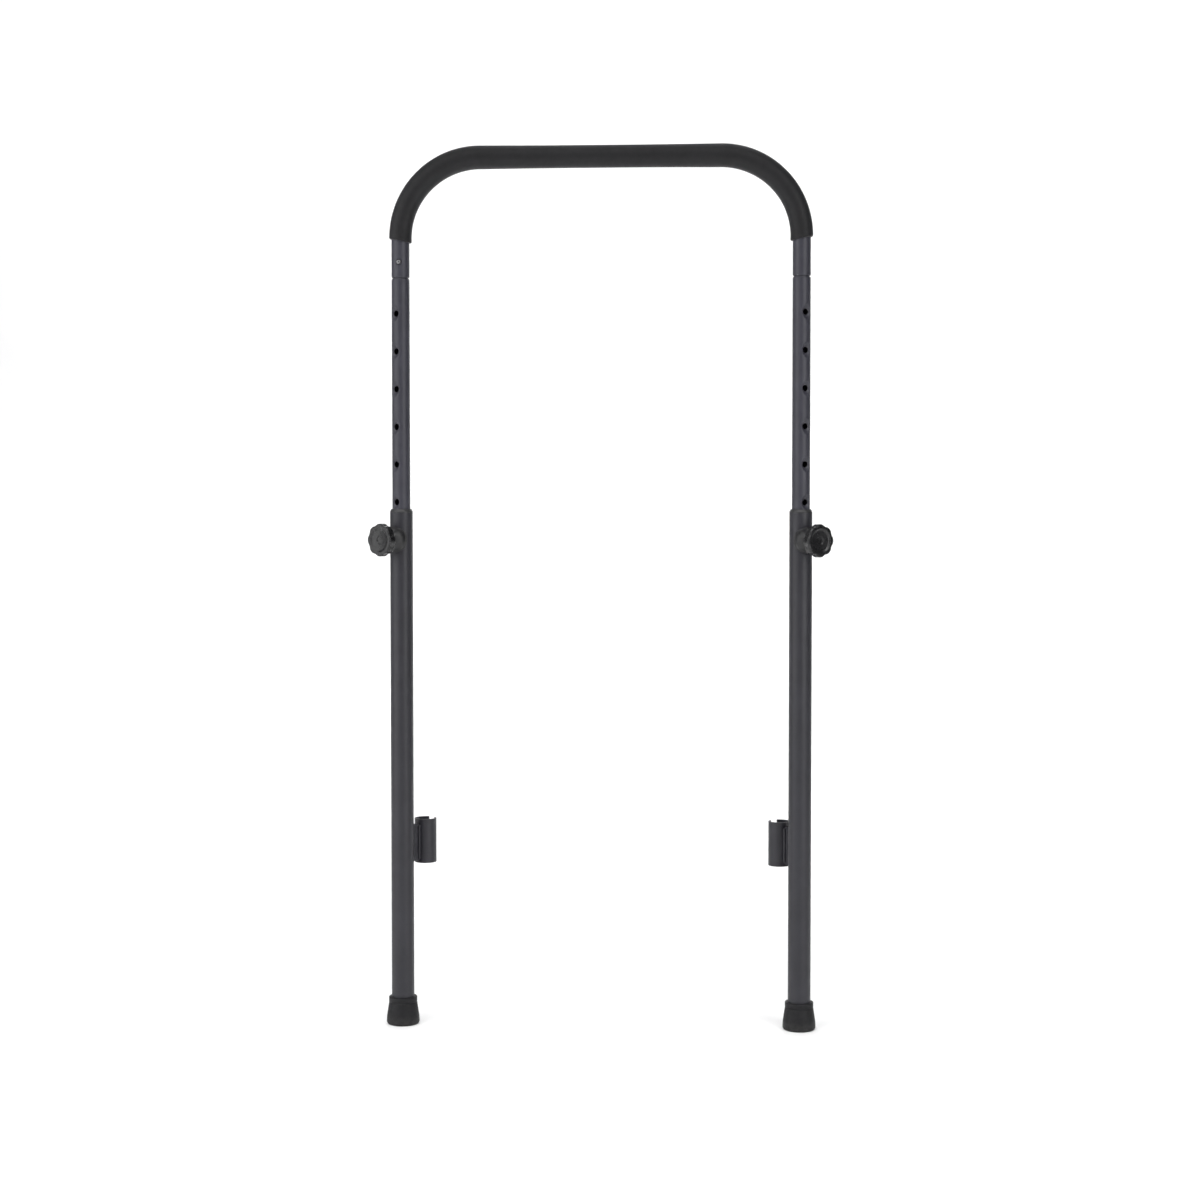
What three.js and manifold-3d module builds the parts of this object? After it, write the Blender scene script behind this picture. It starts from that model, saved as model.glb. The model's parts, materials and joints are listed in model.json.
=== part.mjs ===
// Support hoop of a toilet safety frame: a padded inverted U on two telescoping legs.
// Millimetres, +Z up, the front is -Y. The origin lies on the floor, midway between the legs.

import * as THREE from 'three';
import { mergeVertices } from 'three/addons/utils/BufferGeometryUtils.js';
import Module from 'manifold-3d';

const wasm = await Module();
wasm.setup();

// ---- Driving dimensions ----

const GAP = 0.3; // clearance between touching pieces
const HOLE_PLAY = 0.4; // extra radius of a hole round a moving pin
const STUD_PLAY = 0.8; // extra radius of the holes that the knob's stud passes through
const WALL = 1.2; // wall of every long tube
const TUBE_SIDES = 24;
const SMALL_SIDES = 16;
const PUNCH_SIDES = 12;

const LEG_X = 223; // each leg's axis from the middle
const RAIL_Z = 971.8; // centreline of the top bar
const BEND_R = 89; // centreline radius of the two bends
const BEND_STEPS = 9;

const UPPER_R = 10; // hoop and inner tubes, 20 outside
const LOWER_R = 12.7; // outer tubes, 25.4 outside
const JOINT_Z = 838.4; // lower end of the hoop
const NECK = 0.9; // how far each tube end turns in at the joint line
const SPIGOT_LENGTH = 40; // swaged top of the inner tube, inside the hoop

const SLEEVE_R = 12.9;
const SLEEVE_END_Z = 879.5;
const SLEEVE_END_SLANT = THREE.MathUtils.degToRad(11);

const HOLE_COUNT = 7;
const HOLE_PITCH = 42;
const HOLE_R = 3.5;
const DIMPLE_R = 8.4; // half the height of the pressed dimple round each hole
const DIMPLE_HALF_ANGLE = THREE.MathUtils.degToRad(58);
const KNOB_Z = 547; // the lowest hole, where the knob screws in
const INNER_TUBE_END_Z = 525;

const MOUTH_Z = 577; // top of the outer tube
const BUSHING_DEPTH = 22;
const BUSHING_LIP = 4;

const KNOB_AZIMUTH = THREE.MathUtils.degToRad(37); // from the front, turned outwards
const KNOB_R = 18.3;
const KNOB_FLUTES = 8;
const POINTS_PER_FLUTE = 6;
const FLUTE_DEPTH = 1.3;
const KNOB_FACE = 35.4; // distances along the knob's axis, from the leg's axis
const KNOB_BACK = 26;
const HUB_BACK = 22.6;
const WASHER_BACK = 21.3;
const WASHER_R = 8.8;
const SADDLE_TOP = 21;
const SADDLE_FOOT = 6;
const SADDLE_R = 14.5;
const NUT_TOP = 18.5;
const NUT_R = 6.5;
const NUT_SIDES = 18;
const STUD_R = 4;
const STUD_END = 30.7;

const SOCKET_OFFSET = 36.5; // socket axis from leg axis
const SOCKET_R = 12.5;
const SOCKET_BORE_R = 10.5;
const SOCKET_Z = [179, 229];
const NOTCH = [10, 10]; // width and depth
const WEB_Z = [182, 224];
const WEB_THICKNESS = 4;

const FOOT_RECESS_Z = 8;
const FOOT_HEIGHT = 31;
const FOOT_WASHER = 1.5;

const BUTTON_Z = 856;
const BUTTON_R = 2.6;
const BUTTON_TIP = 12;
const BUTTON_FLANGE = 4.7;
const LEFT_BUTTON_AZIMUTH = THREE.MathUtils.degToRad(-4);
const SPRING_WIDTH = 5;

// ---- Materials ----

const finish = (color, roughness, metalness) => () =>
  new THREE.MeshStandardMaterial({ color, roughness, metalness });

const blackPaint = finish(0x37373c, 0.42, 0.35);
const blackFoam = finish(0x1f1f21, 0.9, 0);
const blackPlastic = finish(0x26262a, 0.5, 0);
const blackRubber = finish(0x1c1c1e, 0.82, 0);
const zincSteel = finish(0xb4b6ba, 0.3, 1);

// ---- Geometry helpers ----

// A closed three.js geometry as a solid that can be joined and cut.
function solid(geometry) {
  geometry.deleteAttribute('normal');
  geometry.deleteAttribute('uv');
  const merged = mergeVertices(geometry, 1e-4);
  return new wasm.Manifold(new wasm.Mesh({
    numProp: 3,
    vertProperties: new Float32Array(merged.attributes.position.array),
    triVerts: new Uint32Array(merged.index.array),
  }));
}

// The solid's surface, back as a geometry.
function surface(body) {
  const mesh = body.getMesh();
  const geometry = new THREE.BufferGeometry();
  geometry.setAttribute('position', new THREE.BufferAttribute(mesh.vertProperties, 3));
  geometry.setIndex(new THREE.BufferAttribute(mesh.triVerts, 1));
  return geometry;
}

// Revolves [radius, height] points about Z. They run anticlockwise, seen with the radius to the right.
function turned(points, sides = TUBE_SIDES) {
  const profile = points.map(([radius, height]) => new THREE.Vector2(radius, height));
  return new THREE.LatheGeometry(profile, sides).rotateX(Math.PI / 2).rotateZ(Math.PI);
}

// A ring or tube: the points close on themselves.
function turnedRing(points, sides = TUBE_SIDES) {
  return turned([...points, points[0]], sides);
}

function pipe(inner, outer, bottom, top, sides = TUBE_SIDES) {
  return turnedRing([[inner, bottom], [outer, bottom], [outer, top], [inner, top]], sides);
}

// A solid cylinder or cone that points away from the Z axis at an azimuth counted from -Y.
function radialPin(innerRadius, outerRadius, from, to, height, azimuth, sides = SMALL_SIDES) {
  return new THREE.CylinderGeometry(innerRadius, outerRadius, to - from, sides)
    .translate(0, -(from + to) / 2, height)
    .rotateZ(azimuth);
}

function mesh(name, geometry, material) {
  const node = new THREE.Mesh(geometry, material());
  node.name = name;
  return node;
}

function group(...children) {
  const parent = new THREE.Group();
  if (children.length) {
    parent.add(...children);
  }
  return parent;
}

// ---- Top hoop and grip sleeve ----

// Centreline of the hoop: two upright ends, two bends and the straight top bar between them.
class HoopPath extends THREE.Curve {
  constructor(endZ) {
    super();
    this.endZ = endZ;
    this.steps = 2 * BEND_STEPS + 3;
  }

  // One station at each end and BEND_STEPS + 1 round each bend, so the straight runs take one step.
  station(u) {
    const index = Math.round(u * this.steps);
    const side = index <= BEND_STEPS + 1 ? -1 : 1;
    const fromEnd = side < 0 ? index : this.steps - index;
    if (fromEnd === 0) {
      return { side, angle: 0, z: this.endZ };
    }
    const angle = ((fromEnd - 1) / BEND_STEPS) * (Math.PI / 2);
    return { side, angle, z: RAIL_Z - BEND_R + BEND_R * Math.sin(angle) };
  }

  getPoint(u) {
    const { side, angle, z } = this.station(u);
    return new THREE.Vector3(side * (LEG_X - BEND_R + BEND_R * Math.cos(angle)), 0, z);
  }

  getTangent(u) {
    const { side, angle } = this.station(u);
    return new THREE.Vector3(Math.sin(angle), 0, -side * Math.cos(angle));
  }

  getPointAt(u) {
    return this.getPoint(u);
  }

  getTangentAt(u) {
    return this.getTangent(u);
  }
}

function bentPipe(inner, outer, endZ) {
  const section = new THREE.Shape().absarc(0, 0, outer, 0, 2 * Math.PI, false);
  section.holes.push(new THREE.Path().absarc(0, 0, inner, 0, 2 * Math.PI, true));
  const path = new HoopPath(endZ);
  return new THREE.ExtrudeGeometry(section, {
    steps: path.steps,
    curveSegments: TUBE_SIDES / 2,
    extrudePath: path,
  });
}

const buttonAzimuth = (side) => (side < 0 ? LEFT_BUTTON_AZIMUTH : LEFT_BUTTON_AZIMUTH + Math.PI);

// Cuts one wall of the hoop's end and of the tube inside it, round the snap button.
function buttonHole(side) {
  const radius = BUTTON_R + HOLE_PLAY;
  return radialPin(radius, radius, 4, 14, BUTTON_Z, buttonAzimuth(side));
}

function topHoop() {
  let body = solid(bentPipe(UPPER_R - WALL, UPPER_R, JOINT_Z));
  for (const side of [-1, 1]) {
    const neck = turnedRing([
      [UPPER_R - NECK, JOINT_Z - 1],
      [UPPER_R + 2, JOINT_Z - 1],
      [UPPER_R + 2, JOINT_Z + 3],
      [UPPER_R - NECK, JOINT_Z + 0.1],
    ]).translate(side * LEG_X, 0, 0);
    const hole = buttonHole(side).translate(side * LEG_X, 0, 0);
    body = body.subtract(solid(neck)).subtract(solid(hole));
  }
  return surface(body);
}

function gripSleeve() {
  let body = solid(bentPipe(UPPER_R + GAP, SLEEVE_R, SLEEVE_END_Z - 8));
  for (const side of [-1, 1]) {
    const offcut = new THREE.BoxGeometry(60, 60, 40)
      .translate(0, 0, -20)
      .rotateY(-side * SLEEVE_END_SLANT)
      .translate(side * LEG_X, 0, SLEEVE_END_Z);
    body = body.subtract(solid(offcut));
  }
  return surface(body);
}

// ---- Inner tube: swaged top, dimpled holes, glide, snap button ----

function innerTube(side) {
  const shoulder = JOINT_Z - GAP;
  const spigotR = UPPER_R - WALL - GAP;
  const top = JOINT_Z + SPIGOT_LENGTH;
  const outside = turned([
    [0, INNER_TUBE_END_Z],
    [UPPER_R, INNER_TUBE_END_Z],
    [UPPER_R, shoulder - 2.4],
    [UPPER_R - NECK, shoulder],
    [spigotR, shoulder],
    [spigotR, top - 1],
    [spigotR - 0.6, top],
    [0, top],
  ]);
  const inside = turned([
    [0, INNER_TUBE_END_Z - 1],
    [UPPER_R - WALL, INNER_TUBE_END_Z - 1],
    [UPPER_R - WALL, shoulder - 6],
    [spigotR - WALL, shoulder - 2],
    [spigotR - WALL, top + 1],
    [0, top + 1],
  ]);
  const azimuth = side * KNOB_AZIMUTH;
  const slope = Math.tan(DIMPLE_HALF_ANGLE);
  const skin = WALL / Math.sin(DIMPLE_HALF_ANGLE);
  let outer = solid(outside);
  let bore = solid(inside);
  const holes = [];
  for (let i = 0; i < HOLE_COUNT; i += 1) {
    const z = KNOB_Z + i * HOLE_PITCH;
    const apex = UPPER_R - DIMPLE_R / slope;
    const mouth = UPPER_R + 2;
    const punch = radialPin(0, (mouth - apex) * slope, apex, mouth, z, azimuth, PUNCH_SIDES);
    const pressed = radialPin(0, (mouth - apex + skin) * slope, apex - skin, mouth, z, azimuth, PUNCH_SIDES);
    outer = outer.subtract(solid(punch));
    bore = bore.subtract(solid(pressed));
    holes.push(solid(radialPin(HOLE_R, HOLE_R, 1, mouth, z, azimuth, PUNCH_SIDES)));
  }
  holes.push(solid(buttonHole(side)));
  let body = outer.subtract(bore);
  for (const hole of holes) {
    body = body.subtract(hole);
  }
  return surface(body);
}

function glide() {
  const end = INNER_TUBE_END_Z - GAP;
  const guideR = LOWER_R - WALL - GAP;
  const plugR = UPPER_R - WALL - GAP;
  return turnedRing([
    [5, end - 8],
    [guideR - 0.8, end - 8],
    [guideR, end - 7],
    [guideR, end],
    [plugR, end],
    [plugR, end + 12],
    [plugR - 0.8, end + 13],
    [5, end + 13],
  ], SMALL_SIDES);
}

function snapButton() {
  return turned([
    [0, BUTTON_FLANGE - 1],
    [BUTTON_R + 1, BUTTON_FLANGE - 1],
    [BUTTON_R + 1, BUTTON_FLANGE],
    [BUTTON_R, BUTTON_FLANGE],
    [BUTTON_R, BUTTON_TIP - 1.6],
    [BUTTON_R * 0.86, BUTTON_TIP - 0.7],
    [BUTTON_R * 0.5, BUTTON_TIP - 0.15],
    [0, BUTTON_TIP],
  ], SMALL_SIDES);
}

// V-shaped leaf: one arm behind the button's flange, the other against the far side of the bore.
function buttonSpring() {
  const leaf = new THREE.Shape();
  leaf.moveTo(3.4, 8);
  leaf.lineTo(3.4, -4);
  leaf.lineTo(0.6, -22);
  leaf.quadraticCurveTo(-1.1, -25.5, -2.8, -22);
  leaf.lineTo(-6.5, 0);
  leaf.lineTo(-6.5, 8);
  leaf.lineTo(-5.7, 8);
  leaf.lineTo(-5.7, 0);
  leaf.lineTo(-2, -21.6);
  leaf.quadraticCurveTo(-1.1, -23.4, -0.2, -21.6);
  leaf.lineTo(2.6, -4);
  leaf.lineTo(2.6, 8);
  leaf.closePath();
  return new THREE.ExtrudeGeometry(leaf, {
    depth: SPRING_WIDTH,
    bevelEnabled: false,
    curveSegments: 6,
  }).translate(0, 0, -SPRING_WIDTH / 2).rotateX(Math.PI / 2).rotateZ(-Math.PI / 2);
}

// ---- Leg: outer tube, bushing, foot ----

function outerTube(side) {
  const tube = solid(pipe(LOWER_R - WALL, LOWER_R, FOOT_RECESS_Z + FOOT_WASHER + 2 * GAP, MOUTH_Z));
  const hole = radialPin(STUD_R + STUD_PLAY, STUD_R + STUD_PLAY, 5, 15, KNOB_Z, side * KNOB_AZIMUTH);
  return surface(tube.subtract(solid(hole)));
}

function collarBushing() {
  const boreR = UPPER_R + GAP;
  const seatR = LOWER_R - WALL - GAP;
  const seat = MOUTH_Z + GAP;
  return turnedRing([
    [boreR, MOUTH_Z - BUSHING_DEPTH],
    [seatR, MOUTH_Z - BUSHING_DEPTH],
    [seatR, seat],
    [LOWER_R, seat],
    [LOWER_R, seat + 1.2],
    [boreR + 0.7, seat + BUSHING_LIP],
    [boreR, seat + BUSHING_LIP],
  ]);
}

function rubberFoot() {
  const recessR = LOWER_R + GAP;
  return turned([
    [0, 1.2],
    [5, 1.2],
    [5, 0],
    [8, 0],
    [8, 1.2],
    [10, 1.2],
    [10, 0],
    [16, 0],
    [17.6, 0.6],
    [18.5, 2.4],
    [18.4, 7],
    [17.4, 15],
    [16, FOOT_HEIGHT - 7],
    [15.4, FOOT_HEIGHT - 6.2],
    [15.9, FOOT_HEIGHT - 5.4],
    [15.9, FOOT_HEIGHT - 1],
    [15, FOOT_HEIGHT],
    [recessR + 0.4, FOOT_HEIGHT],
    [recessR, FOOT_HEIGHT - 0.6],
    [recessR, FOOT_RECESS_Z],
    [0, FOOT_RECESS_Z],
  ]);
}

function footWasher() {
  const bottom = FOOT_RECESS_Z + GAP;
  return pipe(4, LOWER_R - 0.3, bottom, bottom + FOOT_WASHER, SMALL_SIDES);
}

// ---- Knob: each piece is turned about the knob's axis, which is its own Z ----

function knobHead() {
  const bevel = 1.2;
  const outline = new THREE.Shape();
  const points = KNOB_FLUTES * POINTS_PER_FLUTE;
  for (let i = 0; i < points; i += 1) {
    const angle = (i / points) * 2 * Math.PI;
    const flute = ((1 - Math.cos(KNOB_FLUTES * angle)) / 2) ** 1.5;
    const radius = KNOB_R - bevel - FLUTE_DEPTH * flute;
    outline[i ? 'lineTo' : 'moveTo'](radius * Math.cos(angle), radius * Math.sin(angle));
  }
  outline.closePath();
  const head = new THREE.ExtrudeGeometry(outline, {
    depth: KNOB_FACE - KNOB_BACK - 2 * bevel,
    bevelThickness: bevel,
    bevelSize: bevel,
    bevelSegments: 2,
  }).translate(0, 0, KNOB_BACK + bevel);
  const hub = turned([[0, HUB_BACK], [8.2, HUB_BACK], [8.6, KNOB_BACK + 1], [0, KNOB_BACK + 1]]);
  const dish = turned([
    [0, KNOB_FACE - 2.4],
    [4, KNOB_FACE - 2.4],
    [4.4, KNOB_FACE - 1.5],
    [9, KNOB_FACE - 1.2],
    [13, KNOB_FACE - 0.1],
    [13.4, KNOB_FACE + 1],
    [0, KNOB_FACE + 1],
  ]);
  const bore = turned([[0, HUB_BACK - 1], [STUD_R + GAP, HUB_BACK - 1],
    [STUD_R + GAP, STUD_END + GAP], [0, STUD_END + GAP]], SMALL_SIDES);
  return surface(solid(head).add(solid(hub)).subtract(solid(dish)).subtract(solid(bore)));
}

// The tip stops just short of the inner tube, so the leg is free to slide.
function knobStud() {
  const tip = UPPER_R + HOLE_PLAY;
  return turned([
    [0, tip],
    [STUD_R - 1, tip],
    [STUD_R, tip + 1.2],
    [STUD_R, STUD_END],
    [0, STUD_END],
  ], SMALL_SIDES);
}

function knobWasher() {
  return pipe(STUD_R + HOLE_PLAY, WASHER_R, WASHER_BACK, HUB_BACK - GAP, SMALL_SIDES);
}

// The leg's outside, grown by the clearance, for a piece that hugs it.
const legCutter = () => solid(new THREE.CylinderGeometry(LOWER_R + GAP, LOWER_R + GAP, 80, TUBE_SIDES));

function saddle() {
  const body = turned([
    [0, SADDLE_FOOT],
    [SADDLE_R, SADDLE_FOOT],
    [SADDLE_R, 11],
    [SADDLE_R - 0.9, 14],
    [SADDLE_R - 2.6, 17],
    [SADDLE_R - 4.6, SADDLE_TOP - 0.8],
    [SADDLE_R - 5.4, SADDLE_TOP],
    [0, SADDLE_TOP],
  ]);
  const pocket = turned([
    [0, 0],
    [NUT_R + HOLE_PLAY, 0],
    [NUT_R + HOLE_PLAY, NUT_TOP + HOLE_PLAY],
    [STUD_R + STUD_PLAY, NUT_TOP + HOLE_PLAY],
    [STUD_R + STUD_PLAY, SADDLE_TOP + 1],
    [0, SADDLE_TOP + 1],
  ], SMALL_SIDES);
  return surface(solid(body).subtract(legCutter()).subtract(solid(pocket)));
}

function weldNut() {
  const blank = turnedRing([
    [STUD_R + GAP, SADDLE_FOOT],
    [NUT_R, SADDLE_FOOT],
    [NUT_R, NUT_TOP - 0.6],
    [NUT_R - 0.7, NUT_TOP],
    [STUD_R + GAP, NUT_TOP],
  ], NUT_SIDES);
  return surface(solid(blank).subtract(legCutter()));
}

// ---- Socket behind the leg: built with the leg's axis at the origin and the socket along -Y ----

function socketTube() {
  const [bottom, top] = SOCKET_Z;
  const [width, depth] = NOTCH;
  const tube = solid(pipe(SOCKET_BORE_R, SOCKET_R, bottom, top));
  const notch = new THREE.BoxGeometry(width, SOCKET_R, 2 * depth).translate(0, -SOCKET_R, top);
  return surface(tube.subtract(solid(notch)).translate([0, -SOCKET_OFFSET, 0]));
}

function socketWeb() {
  const [bottom, top] = WEB_Z;
  const near = LOWER_R - 1;
  const far = SOCKET_OFFSET - SOCKET_R + 1;
  const middle = (near + far) / 2;
  const half = WEB_THICKNESS / 2;
  const flare = WEB_THICKNESS;
  const plan = new THREE.Shape();
  plan.moveTo(-flare, -far);
  plan.lineTo(flare, -far);
  plan.quadraticCurveTo(half, -far + 2, half, -middle);
  plan.quadraticCurveTo(half, -near - 2, flare, -near);
  plan.lineTo(-flare, -near);
  plan.quadraticCurveTo(-half, -near - 2, -half, -middle);
  plan.quadraticCurveTo(-half, -far + 2, -flare, -far);
  const plate = new THREE.ExtrudeGeometry(plan, {
    depth: top - bottom,
    bevelEnabled: false,
    curveSegments: 5,
  }).translate(0, 0, bottom);
  const leg = pipeCore(LOWER_R + GAP, bottom - 1, top + 1);
  const socket = pipeCore(SOCKET_R + GAP, bottom - 1, top + 1).translate(0, -SOCKET_OFFSET, 0);
  return surface(solid(plate).subtract(solid(leg)).subtract(solid(socket)));
}

function pipeCore(radius, bottom, top) {
  return turned([[0, bottom], [radius, bottom], [radius, top], [0, top]]);
}

// ---- Assembly ----

// Turns a piece whose own Z is its axis to point outwards from the leg at an azimuth and a height.
function pointedOut(azimuth, height, ...pieces) {
  const pointed = group(...pieces);
  pointed.rotation.x = Math.PI / 2;
  pointed.position.z = height;
  const about = group(pointed);
  about.rotation.z = azimuth;
  return about;
}

function legAssembly(side) {
  const label = side < 0 ? 'left' : 'right';
  const piece = (name, geometry, material) => mesh(`${label}_${name}`, geometry, material);

  const socket = group(
    piece('socket_tube', socketTube(), blackPaint),
    piece('socket_web', socketWeb(), blackPaint),
  );
  socket.rotation.z = side * KNOB_AZIMUTH + Math.PI;

  const spring = group(piece('button_spring', buttonSpring(), zincSteel));
  spring.position.z = BUTTON_Z;
  spring.rotation.z = buttonAzimuth(side);

  const leg = group(
    piece('inner_tube', innerTube(side), blackPaint),
    piece('inner_tube_glide', glide(), blackPlastic),
    piece('collar_bushing', collarBushing(), blackPlastic),
    piece('outer_tube', outerTube(side), blackPaint),
    piece('rubber_foot', rubberFoot(), blackRubber),
    piece('foot_washer', footWasher(), zincSteel),
    socket,
    spring,
    pointedOut(buttonAzimuth(side), BUTTON_Z, piece('snap_button', snapButton(), zincSteel)),
    pointedOut(
      side * KNOB_AZIMUTH,
      KNOB_Z,
      piece('saddle', saddle(), blackPlastic),
      piece('weld_nut', weldNut(), zincSteel),
      piece('knob_washer', knobWasher(), zincSteel),
      piece('knob_head', knobHead(), blackPlastic),
      piece('knob_stud', knobStud(), zincSteel),
    ),
  );
  leg.position.x = side * LEG_X;
  return leg;
}

export default group(
  mesh('top_hoop', topHoop(), blackPaint),
  mesh('grip_sleeve', gripSleeve(), blackFoam),
  legAssembly(-1),
  legAssembly(1),
);
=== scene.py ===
import json
import math

import bmesh
import bpy
import numpy as np
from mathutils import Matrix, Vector


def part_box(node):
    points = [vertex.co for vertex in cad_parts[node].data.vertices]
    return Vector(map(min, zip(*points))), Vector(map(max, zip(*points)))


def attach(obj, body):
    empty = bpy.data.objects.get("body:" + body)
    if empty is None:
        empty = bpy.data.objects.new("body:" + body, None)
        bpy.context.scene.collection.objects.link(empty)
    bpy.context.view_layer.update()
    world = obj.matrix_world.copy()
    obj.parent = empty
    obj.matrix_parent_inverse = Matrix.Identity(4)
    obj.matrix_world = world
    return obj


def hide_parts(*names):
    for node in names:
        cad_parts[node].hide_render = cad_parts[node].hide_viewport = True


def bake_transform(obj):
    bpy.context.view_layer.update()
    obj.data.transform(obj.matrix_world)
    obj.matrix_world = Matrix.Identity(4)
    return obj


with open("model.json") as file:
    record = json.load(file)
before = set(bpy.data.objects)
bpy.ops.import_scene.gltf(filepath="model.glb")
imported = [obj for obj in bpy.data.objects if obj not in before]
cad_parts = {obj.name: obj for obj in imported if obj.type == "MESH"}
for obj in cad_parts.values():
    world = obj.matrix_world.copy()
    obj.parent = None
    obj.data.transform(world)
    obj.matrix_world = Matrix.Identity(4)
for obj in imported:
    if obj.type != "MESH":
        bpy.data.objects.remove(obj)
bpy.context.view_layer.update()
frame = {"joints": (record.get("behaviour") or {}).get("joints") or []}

# The support hoop of a toilet safety frame: a padded inverted U on two telescoping legs.
# Metres, +Z up, the front is -Y. Angles round an upright tube are counted from the front, towards +X.

MM = 0.001
SIDES = {"left": -1, "right": 1}

# ---- Sizes, from the frame ----


def joint(name):
    return next(j for j in frame["joints"] if j["name"] == name)


def azimuth(axis):
    return math.atan2(axis[0], -axis[1])


def half_depth(node):
    low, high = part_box(node)
    return (high.y - low.y) / 2


def middle(node):
    low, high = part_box(node)
    return (low + high) / 2


HOOP_LOW, HOOP_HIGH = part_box("top_hoop")
UPPER_R = half_depth("top_hoop")
LOWER_R = half_depth("left_outer_tube")
LEG_X = HOOP_HIGH.x - UPPER_R
RAIL_Z = HOOP_HIGH.z - UPPER_R
JOINT_Z = HOOP_LOW.z
BEND_R = 89 * MM
WALL = 1.2 * MM
TUBE_EDGE = 0.2 * MM
OUTER_EDGE = 0.35 * MM
SPIGOT_GAP = 0.3 * MM  # between the hoop's bare end and the spigot inside it
JOINT_GAP = 0.5 * MM  # how far each tube stops short of the joint line
NECK = 0.5 * MM
NECK_LENGTH = 1.0 * MM
NECK_MARKS = np.array([0, 0.15, 0.35, 0.55, 0.75, 1, 1.4]) * NECK_LENGTH

FLAT = LEG_X - BEND_R
ARC = BEND_R * math.pi / 2
HOOP_END = FLAT + ARC + RAIL_Z - BEND_R - JOINT_Z

HOLE_COUNT = 7
HOLE_PITCH = joint("left_leg_slide")["range_m"][1] / (HOLE_COUNT - 1)
HOLE_R = 3.5 * MM
STUD_HOLE_R = 4.8 * MM
DIMPLE_R = 8.4 * MM
DIMPLE_SLOPE = math.tan(math.radians(58))
DIMPLE_SOFTNESS = 0.9 * MM

KNOB_Z = middle("left_knob_head").z
KNOB_AZIMUTH = azimuth(joint("right_knob_travel")["axis"])
BUTTON_Z = middle("left_snap_button").z
BUTTON_R = 2.6 * MM
HOOP_BUTTON_HOLE_R = BUTTON_R + 0.55 * MM
SPIGOT_BUTTON_HOLE_R = BUTTON_R + 0.9 * MM  # the hole narrows inwards, and has to clear the pin there
MOUTH_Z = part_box("left_outer_tube")[1].z
SLEEVE_END_Z = 879.5 * MM
SLEEVE_R = 12.5 * MM
SLEEVE_SWELL = 0.65 * MM
SWELL_LENGTH = 70 * MM
SLEEVE_LIP = 1.8 * MM
SLANT = math.tan(math.radians(11))
SLANT_LENGTH = 25 * MM

# How finely the round pieces are divided.
COLUMNS = 96
INNER_TUBE_COLUMNS = 72
UPPER_ROW_STEP = 12 * MM
OUTER_ROW_STEP = 20 * MM
HOLE_ROW_STEP = 1.05 * MM

# ---- Shapes: a shape is (vertices, faces) ----


def skin(grid, close_rows=False):
    """Quads over a grid of points, rows by columns, whose columns close on themselves."""
    rows, columns = grid.shape[:2]
    last = rows if close_rows else rows - 1
    faces = [
        (
            i * columns + j,
            i * columns + (j + 1) % columns,
            (i + 1) % rows * columns + (j + 1) % columns,
            (i + 1) % rows * columns + j,
        )
        for i in range(last)
        for j in range(columns)
    ]
    return grid.reshape(-1, 3), faces


def joined(*shapes):
    vertices, faces, count = [], [], 0
    for points, quads in shapes:
        vertices.append(points)
        faces += [tuple(v + count for v in quad) for quad in quads]
        count += len(points)
    return np.concatenate(vertices), faces


def unit(vector):
    return vector / np.linalg.norm(vector)


def rounded(outline, step=math.radians(12)):
    """An outline of (radius, height) or (radius, height, rounding) corners, with its corners rounded."""
    points = []
    for i, corner in enumerate(outline):
        here = np.array(corner[:2], float)
        if len(corner) < 3:
            points.append(here)
            continue
        back = np.array(outline[i - 1][:2]) - here
        ahead = np.array(outline[(i + 1) % len(outline)][:2]) - here
        half = math.acos(np.clip(unit(back) @ unit(ahead), -1, 1)) / 2
        reach = min(corner[2] / math.tan(half), 0.49 * np.linalg.norm(back), 0.49 * np.linalg.norm(ahead))
        radius = reach * math.tan(half)
        centre = here + unit(unit(back) + unit(ahead)) * radius / math.sin(half)
        start = here + unit(back) * reach - centre
        end = here + unit(ahead) * reach - centre
        turn = math.atan2(start[0] * end[1] - start[1] * end[0], start @ end)
        steps = max(2, math.ceil(abs(turn) / step))
        for k in range(steps + 1):
            a = turn * k / steps
            spin = np.array([[math.cos(a), -math.sin(a)], [math.sin(a), math.cos(a)]])
            points.append(centre + spin @ start)
    return np.array(points)


def turned(outline, sides, ring=False):
    """A rounded outline turned about Z. A ring's outline closes on itself, and another's ends on the axis."""
    profile = rounded(outline)
    angle = np.linspace(0, 2 * math.pi, sides, endpoint=False)
    radius, height = profile[:, :1], profile[:, 1:]
    x, y = radius * np.sin(angle), -radius * np.cos(angle)
    return skin(np.stack([x, y, np.broadcast_to(height, x.shape)], -1), ring)


def on_leg(shape, side):
    """A shape whose axis is Z, moved on to a leg's axis."""
    return shape[0] + np.array([side * LEG_X, 0, 0]), shape[1]


def pointed_out(shape, side, direction, height):
    """A shape whose axis is Z, turned to point out of a leg's axis in a direction, at a height."""
    x, y, z = shape[0].T
    sine, cosine = math.sin(direction), math.cos(direction)
    points = np.stack([x * cosine + z * sine, x * sine - z * cosine, y + height], -1)
    return points + np.array([side * LEG_X, 0, 0]), shape[1]


def smooth_min(a, b, softness):
    share = np.clip(0.5 + 0.5 * (b - a) / softness, 0, 1)
    return b + (a - b) * share - softness * share * (1 - share)


def smooth_step(t):
    t = np.clip(t, 0, 1)
    return t * t * (3 - 2 * t)


# ---- Tubes with holes ----


def upright(x):
    """Places points round an upright tube whose axis is at x."""

    def place(length, angle, radius):
        length, angle, radius = np.broadcast_arrays(length, angle, radius)
        return np.stack([x + radius * np.sin(angle), -radius * np.cos(angle), length], -1)

    return place


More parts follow.
